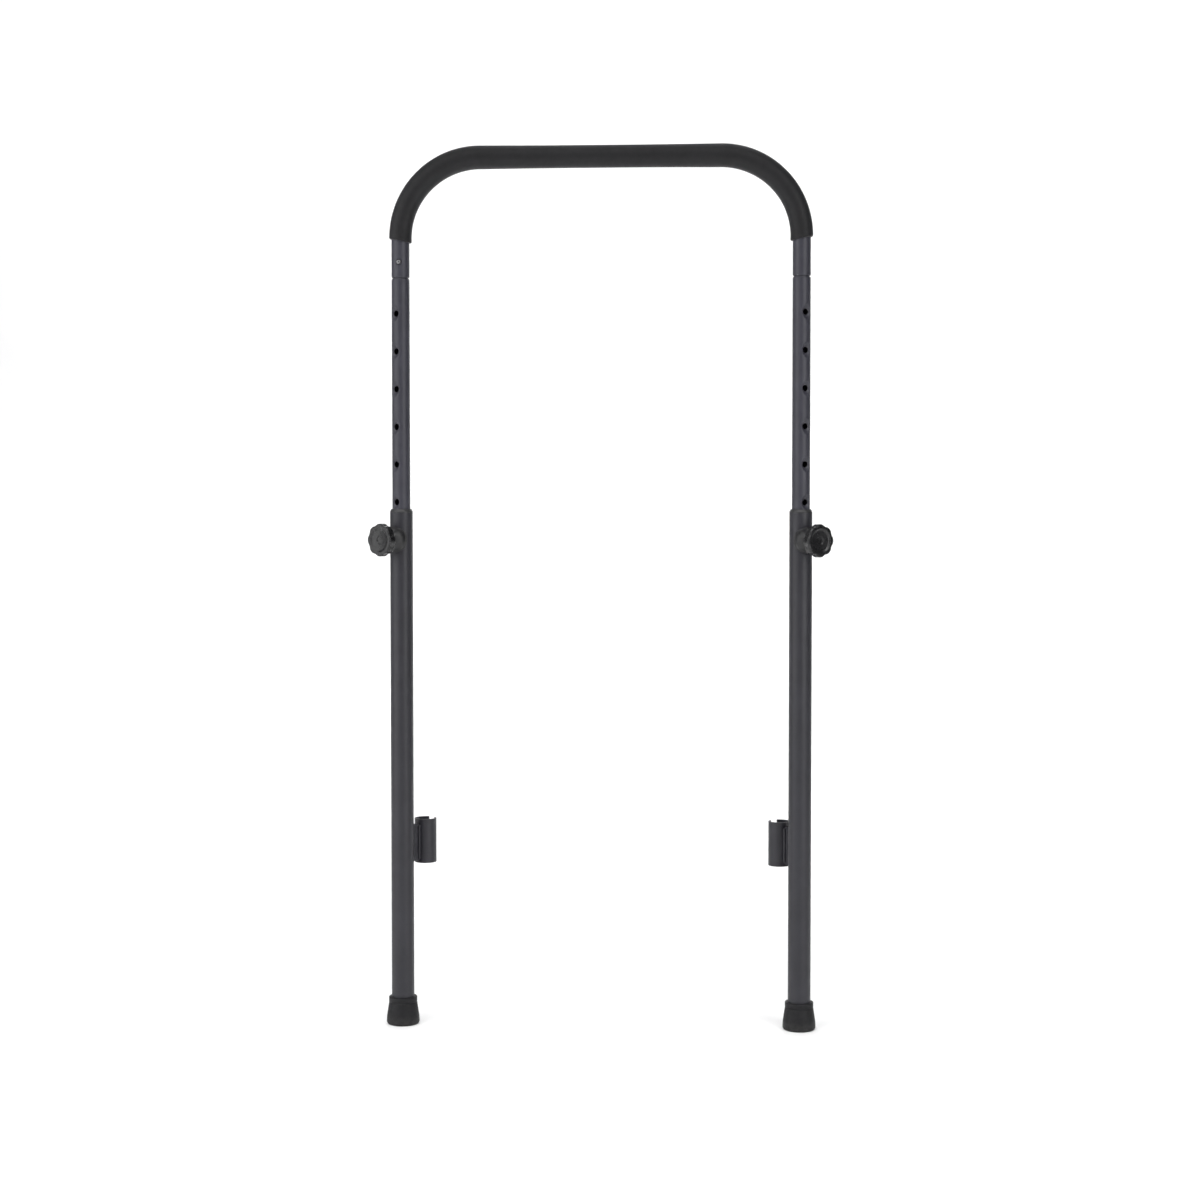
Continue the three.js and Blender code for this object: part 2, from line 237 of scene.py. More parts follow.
def along_hoop(length, angle, radius):
    """Places points round the hoop. Length runs along its centreline from the middle of the top bar,
    and the angle turns from the front to the outside of the bend."""
    length, angle, radius = np.broadcast_arrays(length, angle, radius)
    sign, away = np.sign(length), np.abs(length)
    turn = np.clip((away - FLAT) / BEND_R, 0, math.pi / 2)
    below = np.maximum(away - FLAT - ARC, 0)
    outward = radius * np.sin(angle)
    x = sign * (np.minimum(away, FLAT) + (BEND_R + outward) * np.sin(turn))
    z = RAIL_Z - BEND_R + (BEND_R + outward) * np.cos(turn) - below
    return np.stack([x, -radius * np.cos(angle), z], -1)


class Hole:
    """A round hole that opens along its own direction, with a pressed cone round it if dimpled."""

    def __init__(self, length, angle, radius, dimpled=False):
        self.length, self.angle, self.radius, self.dimpled = length, angle, radius, dimpled
        self.rows = 10 if dimpled else 6
        self.columns = 10 if dimpled else 8


RINGS = [0, 0.02, 0.05, 0.09, 0.14, 0.2, 0.27, 0.35, 0.43, 0.51, 0.59, 0.67, 0.75, 0.83, 0.91]


def spaced(start, end, step):
    """Values from start to end, a step or less apart."""
    return np.linspace(start, end, max(2, math.ceil(abs(end - start) / step) + 1))


def tube_rows(marks, holes, step):
    """Rows at the marks, a step or less apart between them, and closer ones across each hole."""
    kept = [np.asarray(marks, float)]
    for hole in holes:
        kept.append(hole.length + np.arange(-hole.rows, hole.rows + 1) * HOLE_ROW_STEP)
    rows = np.unique(np.round(np.concatenate(kept), 7))
    filled = [spaced(a, b, step)[:-1] for a, b in zip(rows[:-1], rows[1:])]
    return np.concatenate([*filled, rows[-1:]])


def tube_columns(angles, columns):
    """Columns round a tube, one of them at each of the given angles."""
    stops = sorted(a % (2 * math.pi) for a in angles)
    gaps = [(b - a) % (2 * math.pi) or 2 * math.pi for a, b in zip(stops, [*stops[1:], stops[0]])]
    runs = [
        np.linspace(a, a + gap, max(1, round(columns * gap / (2 * math.pi))), endpoint=False)
        for a, gap in zip(stops, gaps)
    ]
    return np.concatenate(runs)


def block_edge(rows, columns):
    """The (row, column) offsets round a block's edge, anticlockwise."""
    right = [(r, columns) for r in range(-rows, rows)]
    top = [(rows, c) for c in range(columns, -columns, -1)]
    left = [(r, -columns) for r in range(rows, -rows, -1)]
    bottom = [(-rows, c) for c in range(-columns, columns)]
    return right + top + left + bottom


def hole_patch(hole, tube_r, edge_arc, edge_rise, place):
    """Rings of points from a hole's rim to the edge of its block."""
    bearing = np.arctan2(edge_rise, edge_arc)
    rim_arc = tube_r * np.arcsin(hole.radius * np.cos(bearing) / tube_r)
    rim_rise = hole.radius * np.sin(bearing)
    share = np.array(RINGS)[:, None]
    arc = rim_arc + (edge_arc - rim_arc) * share
    rise = rim_rise + (edge_rise - rim_rise) * share
    across, depth = tube_r * np.sin(arc / tube_r), tube_r * np.cos(arc / tube_r)
    if hole.dimpled:
        cone = tube_r - DIMPLE_R / DIMPLE_SLOPE + np.hypot(across, rise) / DIMPLE_SLOPE
        depth = smooth_min(depth, cone, DIMPLE_SOFTNESS)
    return place(hole.length + rise, hole.angle + np.arctan2(across, depth), np.hypot(across, depth))


def holed_tube(place, rows, columns, radius_at, holes):
    """The outside of a tube with round holes, each in a patch of rings set into the tube's grid."""
    radii = np.array([radius_at(row) for row in rows])
    points, faces = skin(place(rows[:, None], columns[None, :], radii[:, None]))
    count = len(columns)
    cut = set()
    patch_faces = []
    for hole in holes:
        total = len(points)
        row = int(np.argmin(abs(rows - hole.length)))
        column = int(np.argmin(abs(np.angle(np.exp(1j * (columns - hole.angle))))))
        for r in range(-hole.rows, hole.rows):
            for c in range(-hole.columns, hole.columns):
                cut.add((row + r) * count + (column + c) % count)
        edge = block_edge(hole.rows, hole.columns)
        corner = [(row + r) * count + (column + c) % count for r, c in edge]
        tube_r = radius_at(hole.length)
        turn = np.angle(np.exp(1j * (columns[[v % count for v in corner]] - hole.angle)))
        rise = rows[[v // count for v in corner]] - hole.length
        patch = hole_patch(hole, tube_r, tube_r * turn, rise, place)
        rings = [[total + k * len(edge) + j for j in range(len(edge))] for k in range(len(RINGS))]
        rings.append(corner)
        for near, far in zip(rings[:-1], rings[1:]):
            for j in range(len(edge)):
                after = (j + 1) % len(edge)
                patch_faces.append((near[j], far[j], far[after], near[after]))
        points = np.concatenate([points, patch.reshape(-1, 3)])
    kept = [face for i, face in enumerate(faces) if i not in cut]
    return points, kept + patch_faces


# ---- Materials ----


def shader(name, metallic, specular=0.5):
    material = bpy.data.materials.new(name)
    material.use_nodes = True
    surface = material.node_tree.nodes["Principled BSDF"]
    surface.inputs["Metallic"].default_value = metallic
    surface.inputs["Specular IOR Level"].default_value = specular
    return material, material.node_tree, surface


def node(tree, kind, **values):
    made = tree.nodes.new(kind)
    for key, value in values.items():
        if key in made.inputs:
            made.inputs[key].default_value = value
        else:
            setattr(made, key, value)
    return made


def object_space(tree):
    return node(tree, "ShaderNodeTexCoord").outputs["Object"]


def noise(tree, scale, detail=3.0, roughness=0.55, stretch=(1, 1, 1)):
    """Noise with so many features to the metre, in the piece's own space."""
    mapping = node(tree, "ShaderNodeMapping")
    mapping.inputs["Scale"].default_value = stretch
    tree.links.new(object_space(tree), mapping.inputs["Vector"])
    made = node(tree, "ShaderNodeTexNoise", Scale=scale, Detail=detail, Roughness=roughness)
    tree.links.new(mapping.outputs["Vector"], made.inputs["Vector"])
    return made.outputs["Fac"]


def spread(tree, value, low, high, dark=0.3, light=0.7):
    """Maps a texture's dark-to-light range onto low to high."""
    made = node(tree, "ShaderNodeMapRange")
    for key, number in (("From Min", dark), ("From Max", light), ("To Min", low), ("To Max", high)):
        made.inputs[key].default_value = number
    tree.links.new(value, made.inputs["Value"])
    return made.outputs["Result"]


def blended(tree, factor, first, second):
    """A colour between two, each a colour or another node's output."""
    made = node(tree, "ShaderNodeMix", data_type="RGBA")
    tree.links.new(factor, made.inputs["Factor"])
    for key, value in (("A", first), ("B", second)):
        socket = next(s for s in made.inputs if s.name == key and s.type == "RGBA")
        if isinstance(value, tuple):
            socket.default_value = (*value, 1)
        else:
            tree.links.new(value, socket)
    return next(s for s in made.outputs if s.type == "RGBA")


def bumps(tree, surface, *layers):
    """Stacks bump layers, each (height, strength, depth in metres)."""
    normal = None
    for height, strength, depth in layers:
        made = node(tree, "ShaderNodeBump", Strength=strength, Distance=depth)
        tree.links.new(height, made.inputs["Height"])
        if normal:
            tree.links.new(normal, made.inputs["Normal"])
        normal = made.outputs["Normal"]
    tree.links.new(normal, surface.inputs["Normal"])


def edge_mask(tree, low, high):
    """One on sharp convex edges, broken up by noise, and nothing elsewhere."""
    sharp = spread(tree, node(tree, "ShaderNodeNewGeometry").outputs["Pointiness"], 0, 1, low, high)
    made = node(tree, "ShaderNodeMath", operation="MULTIPLY")
    tree.links.new(sharp, made.inputs[0])
    tree.links.new(spread(tree, noise(tree, 420), 0, 1, 0.42, 0.62), made.inputs[1])
    return made.outputs["Value"]


def powder_coat(name, dark, light):
    """Satin powder coat: a fine orange peel, faint mottling, rubbed brighter along edges."""
    material, tree, surface = shader(name, 0.0, 0.45)
    mottled = blended(tree, spread(tree, noise(tree, 35), 0, 1), dark, light)
    specks = spread(tree, noise(tree, 2600, 1), 0, 0.5, 0.55, 0.75)
    speckled = blended(tree, specks, mottled, (0.05, 0.05, 0.055))
    worn = blended(tree, edge_mask(tree, 0.54, 0.6), speckled, (0.12, 0.12, 0.13))
    tree.links.new(worn, surface.inputs["Base Color"])
    tree.links.new(spread(tree, noise(tree, 90, 4), 0.4, 0.5), surface.inputs["Roughness"])
    bumps(tree, surface, (noise(tree, 750, 2), 0.35, 0.12 * MM), (noise(tree, 2600, 1), 0.25, 0.05 * MM))
    return material


def grip_foam():
    """Closed-cell foam rubber: a soft sheen, tiny open cells and a slightly uneven skin."""
    material, tree, surface = shader("grip_foam_black", 0.0, 0.3)
    surface.inputs["Sheen Weight"].default_value = 0.06
    surface.inputs["Sheen Roughness"].default_value = 0.5
    surface.inputs["Sheen Tint"].default_value = (0.8, 0.8, 0.85, 1)
    cells = node(tree, "ShaderNodeTexVoronoi", Scale=1300, Randomness=1.0)
    tree.links.new(object_space(tree), cells.inputs["Vector"])
    cell = cells.outputs["Distance"]
    mottling = spread(tree, noise(tree, 45, 5), 0, 1)
    skin_tone = blended(tree, mottling, (0.0052, 0.005, 0.006), (0.009, 0.0087, 0.0102))
    pitted = blended(tree, spread(tree, cell, 1, 0, 0.1, 0.5), skin_tone, (0.008, 0.008, 0.008))
    tree.links.new(pitted, surface.inputs["Base Color"])
    tree.links.new(spread(tree, noise(tree, 160, 3), 0.5, 0.62), surface.inputs["Roughness"])
    bumps(tree, surface, (noise(tree, 130, 3), 0.2, 0.4 * MM), (cell, 0.5, 0.15 * MM))
    return material


def moulded_plastic(name, dark, light, low, high):
    """Injection-moulded plastic with a spark-eroded grain, polished a little on its edges."""
    material, tree, surface = shader(name, 0.0, 0.5)
    tone = blended(tree, spread(tree, noise(tree, 60, 4), 0, 1), dark, light)
    rubbed = blended(tree, edge_mask(tree, 0.53, 0.6), tone, tuple(3 * c for c in light))
    tree.links.new(rubbed, surface.inputs["Base Color"])
    tree.links.new(spread(tree, noise(tree, 240, 4), low, high), surface.inputs["Roughness"])
    bumps(tree, surface, (noise(tree, 1900, 2), 0.3, 0.06 * MM), (noise(tree, 180, 2), 0.12, 0.15 * MM))
    return material


def foot_rubber():
    """Moulded rubber with a faint bloom of dust that thickens towards the floor."""
    material, tree, surface = shader("foot_rubber_black", 0.0, 0.3)
    mottling = spread(tree, noise(tree, 70, 5), 0, 1)
    tone = blended(tree, mottling, (0.0048, 0.0046, 0.0056), (0.0082, 0.0079, 0.0094))
    height = node(tree, "ShaderNodeSeparateXYZ")
    tree.links.new(object_space(tree), height.inputs["Vector"])
    low_down = spread(tree, height.outputs["Z"], 1, 0, 0, 12 * MM)
    dust = node(tree, "ShaderNodeMath", operation="MULTIPLY")
    tree.links.new(low_down, dust.inputs[0])
    tree.links.new(spread(tree, noise(tree, 260, 5), 0, 0.6), dust.inputs[1])
    dusty = blended(tree, dust.outputs["Value"], tone, (0.05, 0.048, 0.046))
    tree.links.new(dusty, surface.inputs["Base Color"])
    tree.links.new(spread(tree, noise(tree, 300, 3), 0.5, 0.66), surface.inputs["Roughness"])
    bumps(tree, surface, (noise(tree, 1200, 3), 0.4, 0.08 * MM), (noise(tree, 150, 2), 0.15, 0.3 * MM))
    return material


def plated_steel(name, dark, light):
    """Zinc plate: fine brushing, cloudy patches of roughness and faint blue-grey tint changes."""
    material, tree, surface = shader(name, 1.0)
    tone = blended(tree, spread(tree, noise(tree, 300, 4), 0, 1), dark, light)
    tree.links.new(tone, surface.inputs["Base Color"])
    tree.links.new(spread(tree, noise(tree, 500, 4), 0.22, 0.4), surface.inputs["Roughness"])
    brushing = noise(tree, 700, 2, stretch=(1, 1, 9))
    bumps(tree, surface, (brushing, 0.25, 0.03 * MM))
    return material


def studio_floor():
    """Seamless pale paper."""
    material, tree, surface = shader("studio_paper", 0.0, 0.1)
    tone = blended(tree, spread(tree, noise(tree, 6, 3), 0, 1), (0.9, 0.9, 0.9), (0.92, 0.92, 0.92))
    tree.links.new(tone, surface.inputs["Base Color"])
    surface.inputs["Roughness"].default_value = 0.9
    bumps(tree, surface, (noise(tree, 900, 2), 0.05, 0.05 * MM))
    return material


PAINT = powder_coat("powder_coat_black", (0.0135, 0.0132, 0.0175), (0.0195, 0.019, 0.025))
UPPER_PAINT = powder_coat("powder_coat_graphite", (0.027, 0.0268, 0.0365), (0.036, 0.0355, 0.048))
FOAM = grip_foam()
PLASTIC = moulded_plastic("bushing_plastic_black", (0.016, 0.016, 0.018), (0.026, 0.026, 0.028), 0.42, 0.55)
SADDLE_PLASTIC = moulded_plastic(
    "saddle_plastic_black", (0.007, 0.007, 0.0078), (0.011, 0.011, 0.012), 0.36, 0.46
)
KNOB_PLASTIC = moulded_plastic(
    "knob_plastic_black", (0.005, 0.005, 0.0056), (0.009, 0.009, 0.0098), 0.24, 0.33
)
RUBBER = foot_rubber()
STEEL = plated_steel("zinc_plated_steel", (0.58, 0.59, 0.62), (0.76, 0.76, 0.77))
DULL_STEEL = plated_steel("dulled_steel", (0.16, 0.16, 0.165), (0.24, 0.24, 0.245))

# ---- Pieces ----


def build(name, shape, material):
    """A smooth-shaded object from a shape, with doubled points merged and its faces turned outwards."""
    mesh = bpy.data.meshes.new(name)
    mesh.from_pydata(shape[0].tolist(), [], shape[1])
    work = bmesh.new()
    work.from_mesh(mesh)
    bmesh.ops.delete(work, geom=[v for v in work.verts if not v.link_faces], context="VERTS")
    bmesh.ops.remove_doubles(work, verts=work.verts, dist=1e-6)
    bmesh.ops.dissolve_degenerate(work, edges=work.edges, dist=1e-7)
    bmesh.ops.recalc_face_normals(work, faces=work.faces)
    work.to_mesh(mesh)
    work.free()
    mesh.materials.append(material)
    mesh.shade_smooth()
    piece = bpy.data.objects.new(name, mesh)
    bpy.context.scene.collection.objects.link(piece)
    return piece


def thicken(piece, wall, edge):
    """Gives an open skin its wall, inwards, and rounds the rims."""
    solid = piece.modifiers.new("wall", "SOLIDIFY")
    solid.thickness = wall
    solid.offset = -1
    solid.use_even_offset = True
    soften(piece, edge)


def soften(piece, edge, segments=3, angle=40):
    """Rounds the sharp edges and keeps the faces between them flat to the light."""
    bevel = piece.modifiers.new("rounded_edges", "BEVEL")
    bevel.width = edge
    bevel.segments = segments
    bevel.limit_method = "ANGLE"
    bevel.angle_limit = math.radians(angle)
    bevel.use_clamp_overlap = True
    weights = piece.modifiers.new("even_shading", "WEIGHTED_NORMAL")
    weights.keep_sharp = True


def fit(piece, body, slot, *nodes):
    """Puts a piece on its body in place of the CAD nodes that it stands for."""
    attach(piece, body)
    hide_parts(*nodes)
    return piece


# ---- Hoop and grip sleeve ----


def button_direction(side_name):
    """The outward direction of a snap button."""
    inward = joint(f"{side_name}_button_press")["axis"]
    return azimuth([-inward[0], -inward[1]])


def neck_radius(radius, from_end):
    """A tube's radius near an end that turns in to a narrow neck."""
    return radius - NECK * (1 - smooth_step(from_end / NECK_LENGTH))


def make_hoop():
    below_arc = HOOP_END - (BUTTON_Z - JOINT_Z)
    holes = [
        Hole(-below_arc, -button_direction("left"), HOOP_BUTTON_HOLE_R),
        Hole(below_arc, button_direction("right"), HOOP_BUTTON_HOLE_R),
    ]
    end = HOOP_END - JOINT_GAP
    bend = np.linspace(FLAT, FLAT + ARC, 37)
    half = np.concatenate([end - NECK_MARKS, bend, [0]])
    rows = tube_rows(np.concatenate([half, -half]), holes, UPPER_ROW_STEP)
    columns = tube_columns([hole.angle for hole in holes], COLUMNS)

    def radius_at(length):
        return neck_radius(UPPER_R, end - abs(length))

    piece = build("hoop_tube", holed_tube(along_hoop, rows, columns, radius_at, holes), UPPER_PAINT)
    thicken(piece, WALL, TUBE_EDGE)
    return fit(piece, "upper_frame", "painted_tube", "top_hoop")


def sleeve_radius(length):
    """The foam is fullest just where it goes into the bends, and a little stretched between."""
    away = abs(length)
    fullest = FLAT + 0.2 * ARC
    return SLEEVE_R + SLEEVE_SWELL * np.exp(-(((away - fullest) / SWELL_LENGTH) ** 2))


def make_sleeve():
    end = FLAT + ARC + (RAIL_Z - BEND_R - SLEEVE_END_Z)
    inner = UPPER_R + 0.05 * MM
    corner = np.linspace(0, math.pi / 2, 9)
    lengths, radii = [], []
    for sign in (-1, 1):
        outer = sleeve_radius(end) - SLEEVE_LIP
        run_out = end - SLEEVE_LIP + SLEEVE_LIP * np.sin(corner[::-1])
        swell = outer + SLEEVE_LIP * np.cos(corner[::-1])
        order = slice(None) if sign < 0 else slice(None, None, -1)
        lengths.append(sign * run_out[order])
        radii.append(swell[order])
    middle_run = np.unique(np.concatenate([
        spaced(-end + SLEEVE_LIP, -FLAT - ARC, 1.5 * MM),
        np.linspace(-FLAT - ARC, -FLAT, 65),
        spaced(-FLAT, FLAT, 5 * MM),
        np.linspace(FLAT, FLAT + ARC, 65),
        spaced(FLAT + ARC, end - SLEEVE_LIP, 1.5 * MM),
    ]))[1:-1]
    inside = middle_run[::-4]
    rows = np.concatenate([[-end], lengths[0], middle_run, lengths[1], [end], inside])
    radius = np.concatenate([
        [inner], radii[0], sleeve_radius(middle_run), radii[1], [inner], np.full(len(inside), inner),
    ])
    angles = np.linspace(0, 2 * math.pi, COLUMNS, endpoint=False)
    near_end = smooth_step((np.abs(rows) - end + SLANT_LENGTH) / SLANT_LENGTH)
    shift = np.sign(rows)[:, None] * near_end[:, None] * SLANT * radius[:, None] * np.sin(angles)
    grid = along_hoop(rows[:, None] - shift, angles[None, :], radius[:, None])
    piece = build("grip_sleeve_foam", skin(grid, close_rows=True), FOAM)
    return fit(piece, "upper_frame", "grip_foam", "grip_sleeve")


# ---- Legs ----


def make_inner_tube(label, side):
    low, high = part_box(f"{label}_inner_tube")
    shoulder = JOINT_Z - SPIGOT_GAP - JOINT_GAP
    spigot_r = UPPER_R - WALL - SPIGOT_GAP
    direction = side * KNOB_AZIMUTH
    holes = [Hole(KNOB_Z + i * HOLE_PITCH, direction, HOLE_R, dimpled=True) for i in range(HOLE_COUNT)]
    holes.append(Hole(BUTTON_Z, button_direction(label), SPIGOT_BUTTON_HOLE_R))

    def radius_at(height):
        if height <= shoulder:
            return neck_radius(UPPER_R, shoulder - height)
        return spigot_r - 0.6 * MM * smooth_step((height - high.z + MM) / MM)

    step = 0.02 * MM
    spigot = [shoulder + step, shoulder + MM, high.z - MM, high.z]
    marks = np.concatenate([[low.z, low.z + MM], shoulder - NECK_MARKS, spigot])
    rows = tube_rows(marks, holes, UPPER_ROW_STEP)
    columns = tube_columns([direction, button_direction(label)], INNER_TUBE_COLUMNS)
    shape = holed_tube(upright(side * LEG_X), rows, columns, radius_at, holes)
    piece = build(f"{label}_inner_tube_steel", shape, UPPER_PAINT)
    thicken(piece, WALL, TUBE_EDGE)
    return fit(piece, "upper_frame", "painted_tube", f"{label}_inner_tube")


def make_outer_tube(label, side):
    low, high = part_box(f"{label}_outer_tube")
    holes = [Hole(KNOB_Z, side * KNOB_AZIMUTH, STUD_HOLE_R)]
    ends = np.array([0, 0.5, 1.5]) * MM
    rows = tube_rows(np.concatenate([low.z + ends, high.z - ends]), holes, OUTER_ROW_STEP)
    columns = tube_columns([side * KNOB_AZIMUTH], COLUMNS)
    shape = holed_tube(upright(side * LEG_X), rows, columns, lambda height: LOWER_R, holes)
    piece = build(f"{label}_outer_tube_steel", shape, PAINT)
    thicken(piece, WALL, OUTER_EDGE)
    return fit(piece, f"{label}_leg", "painted_tube", f"{label}_outer_tube")


def make_bushing(label, side):
    low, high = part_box(f"{label}_collar_bushing")
    bore = UPPER_R + 0.15 * MM
    seat = MOUTH_Z + 0.05 * MM
    barrel = LOWER_R - WALL - 0.1 * MM
    outline = [
        (bore, low.z, 0.3 * MM),
        (barrel, low.z, 0.3 * MM),
        (barrel, seat),
        (LOWER_R, seat, 0.15 * MM),
        (LOWER_R, seat + 1.4 * MM, 0.6 * MM),
        (bore + 1.1 * MM, high.z, 0.5 * MM),
        (bore, high.z, 0.35 * MM),
    ]
    piece = build(f"{label}_bushing", on_leg(turned(outline, COLUMNS, ring=True), side), PLASTIC)
    return fit(piece, f"{label}_leg", "moulded_plastic", f"{label}_collar_bushing")


def make_glide(label, side):
    """A plug with three soft barbs in the inner tube's end, and a flange that runs in the outer tube."""
    low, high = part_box(f"{label}_inner_tube_glide")
    flange_top = low.z + 8 * MM
    bore, flange, plug = 5 * MM, LOWER_R - WALL - 0.2 * MM, UPPER_R - WALL - 0.5 * MM
    outline = [
        (bore, low.z, 0.5 * MM),
        (flange, low.z, 1.2 * MM),
        (flange, flange_top, 0.4 * MM),
        (plug, flange_top),
    ]
    for barb in range(3):
        foot = flange_top + (2.4 + 3 * barb) * MM
        outline += [(plug, foot), (plug + 0.4 * MM, foot + 0.4 * MM, 0.3 * MM), (plug, foot + 2 * MM)]
    outline += [(plug - 0.5 * MM, high.z, 0.5 * MM), (bore, high.z, 0.5 * MM)]
    piece = build(f"{label}_glide_plug", on_leg(turned(outline, COLUMNS, ring=True), side), PLASTIC)
    return fit(piece, "upper_frame", "moulded_plastic", f"{label}_inner_tube_glide")


def make_foot_washer(label, side):
    low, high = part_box(f"{label}_foot_washer")
    bore, rim, edge = 4 * MM, LOWER_R - 0.3 * MM, 0.3 * MM
    outline = [(bore, low.z, edge), (rim, low.z, edge), (rim, high.z, edge), (bore, high.z, edge)]
    piece = build(f"{label}_foot_disc", on_leg(turned(outline, COLUMNS, ring=True), side), STEEL)
    return fit(piece, f"{label}_leg", "plated_steel", f"{label}_foot_washer")


def make_foot(label, side):
    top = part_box(f"{label}_rubber_foot")[1].z
    base = half_depth(f"{label}_rubber_foot")
    band = base - 2.6 * MM
    groove = base - 3.2 * MM
    socket = LOWER_R + 0.1 * MM
    tread = 1.2 * MM
    floor = 8 * MM
    outline = [
        (0, tread),
        (5 * MM, tread, 0.3 * MM),
        (5.3 * MM, 0, 0.3 * MM),
        (7.7 * MM, 0, 0.3 * MM),
        (8 * MM, tread, 0.3 * MM),
        (10 * MM, tread, 0.3 * MM),
        (10.3 * MM, 0, 0.3 * MM),
        (base - 1.4 * MM, 0, 1.2 * MM),
        (base, 2.2 * MM, 2.4 * MM),
        (base - 0.3 * MM, 9 * MM, 20 * MM),
        (base - 1.5 * MM, 17 * MM, 30 * MM),
        (band, top - 6.6 * MM, 0.8 * MM),
        (groove, top - 6.1 * MM, 0.3 * MM),
        (band, top - 5.5 * MM, 0.35 * MM),
        (band, top, 1.1 * MM),
        (socket, top, 0.5 * MM),
        (socket, floor, 0.3 * MM),
        (0, floor),
    ]
    piece = build(f"{label}_foot", on_leg(turned(outline, 128), side), RUBBER)
    return fit(piece, f"{label}_leg", "foot_rubber", f"{label}_rubber_foot")


# ---- Knob: each piece's own Z runs out along the knob's axis, from the leg's axis ----

STUD_R = 4 * MM
STUD_TIP = UPPER_R + 0.4 * MM
STUD_END = 30.7 * MM
TIP_LENGTH = 1.5 * MM
TIP_TAPER = 0.22
THREAD_DEPTH = 0.7 * MM
THREAD_PLAY = 0.12 * MM
ROWS_PER_TURN = 14
THREAD_PITCH = joint("left_knob_travel")["range_m"][1] / (joint("left_knob_turn")["range_deg"][1] / 360)
SADDLE_R = 14.5 * MM
SADDLE_FOOT = 6 * MM
SADDLE_TOP = 21 * MM
NUT_R = 6.5 * MM
NUT_TOP = 18.5 * MM
NUT_POCKET_R = 6.9 * MM
NUT_WELD = 0.3 * MM
NUT_WELD_HEIGHT = 1.6 * MM
HUG_R = LOWER_R + 0.1 * MM
WASHER_BACK = 21.3 * MM
HUB_BACK = 22.6 * MM
HEAD_BACK = 26 * MM
KNOB_FACE = 35.4 * MM
KNOB_R = 18.3 * MM
KNOB_LOBES = 8
FLUTE_DEPTH = 1.3 * MM
FLUTE_ROOT_R = 13.2 * MM
FLUTE_REACH = KNOB_R - 14.4 * MM


def hug_height(radius, angle):
    """How far out the leg's surface lies, round a circle about the knob's axis."""
    across = np.abs(radius * np.cos(angle))
    return np.maximum(SADDLE_FOOT, np.sqrt(np.maximum(HUG_R**2 - across**2, 0)))


def ring_row(radius, height, angle):
    radius, height = np.broadcast_to(radius, angle.shape), np.broadcast_to(height, angle.shape)
    return np.stack([radius * np.cos(angle), radius * np.sin(angle), height], -1)


def thread_radius(height, angle):
    """The flank of a right-hand thread, which both the stud and the nut follow."""
    phase = ((height - STUD_TIP) / THREAD_PITCH - angle / (2 * math.pi)) % 1
    ridge = np.clip(1.225 - 1.375 * np.abs(2 * phase - 1), 0, 1)
    return STUD_R - THREAD_DEPTH * (1 - ridge)


def make_knob_head(label, side):
    bore = STUD_R + 0.1 * MM
    dish = KNOB_FACE - 2.7 * MM
    profile = rounded([
        (bore, HUB_BACK, 0.2 * MM),
        (8.2 * MM, HUB_BACK, 0.5 * MM),
        (8.6 * MM, HEAD_BACK, 0.8 * MM),
        (KNOB_R, HEAD_BACK, 1.5 * MM),
        (KNOB_R, KNOB_FACE, 1.7 * MM),
        (13.6 * MM, KNOB_FACE, 1.2 * MM),
        (11.4 * MM, KNOB_FACE - 1.3 * MM, 2.5 * MM),
        (4.9 * MM, KNOB_FACE - 1.6 * MM, 0.5 * MM),
        (4.2 * MM, dish, 0.5 * MM),
        (0, dish),
        (0, STUD_END + 0.1 * MM),
        (bore, STUD_END + 0.1 * MM),
    ], math.radians(9))
    angle = np.linspace(0, 2 * math.pi, KNOB_LOBES * 32, endpoint=False)
    flute = FLUTE_DEPTH * ((1 - np.cos(KNOB_LOBES * angle)) / 2) ** 1.5
    radius, height = profile[:, :1], profile[:, 1:]
    reach = smooth_step((radius - FLUTE_ROOT_R) / FLUTE_REACH)
    edge = radius - flute * reach
    grid = np.stack([edge * np.cos(angle), edge * np.sin(angle), np.broadcast_to(height, edge.shape)], -1)
    shape = pointed_out(skin(grid, close_rows=True), side, side * KNOB_AZIMUTH, KNOB_Z)
    piece = build(f"{label}_knob", shape, KNOB_PLASTIC)
    return fit(piece, f"{label}_knob", "knob_plastic", f"{label}_knob_head")


def make_knob_stud(label, side):
    """A threaded rod with a tapered point, moulded into the knob."""
    angle = np.linspace(0, 2 * math.pi, 64, endpoint=False)
    turns = (STUD_END - STUD_TIP) / THREAD_PITCH
    rows = [ring_row(0, STUD_TIP, angle)]
    for height in np.linspace(STUD_TIP, STUD_END, int(turns * ROWS_PER_TURN)):
        point = np.clip((height - STUD_TIP) / TIP_LENGTH, 0, 1)
        taper = 1 - TIP_TAPER + TIP_TAPER * point
        rows.append(ring_row(thread_radius(height, angle) * taper, height, angle))
    rows.append(ring_row(0, STUD_END, angle))
    shape = skin(np.array(rows))
    piece = build(f"{label}_stud", pointed_out(shape, side, side * KNOB_AZIMUTH, KNOB_Z), STEEL)
    return fit(piece, f"{label}_knob", "plated_steel", f"{label}_knob_stud")


def make_knob_washer(label, side):
    front = HUB_BACK - 0.1 * MM
    outline = [
        (STUD_R + 0.3 * MM, WASHER_BACK, 0.15 * MM),
        (8.8 * MM, WASHER_BACK, 0.15 * MM),
        (8.8 * MM, front, 0.35 * MM),
        (STUD_R + 0.3 * MM, front, 0.15 * MM),
    ]
    shape = pointed_out(turned(outline, COLUMNS, ring=True), side, side * KNOB_AZIMUTH, KNOB_Z)
    piece = build(f"{label}_washer", shape, STEEL)
    return fit(piece, f"{label}_washer", "plated_steel", f"{label}_knob_washer")


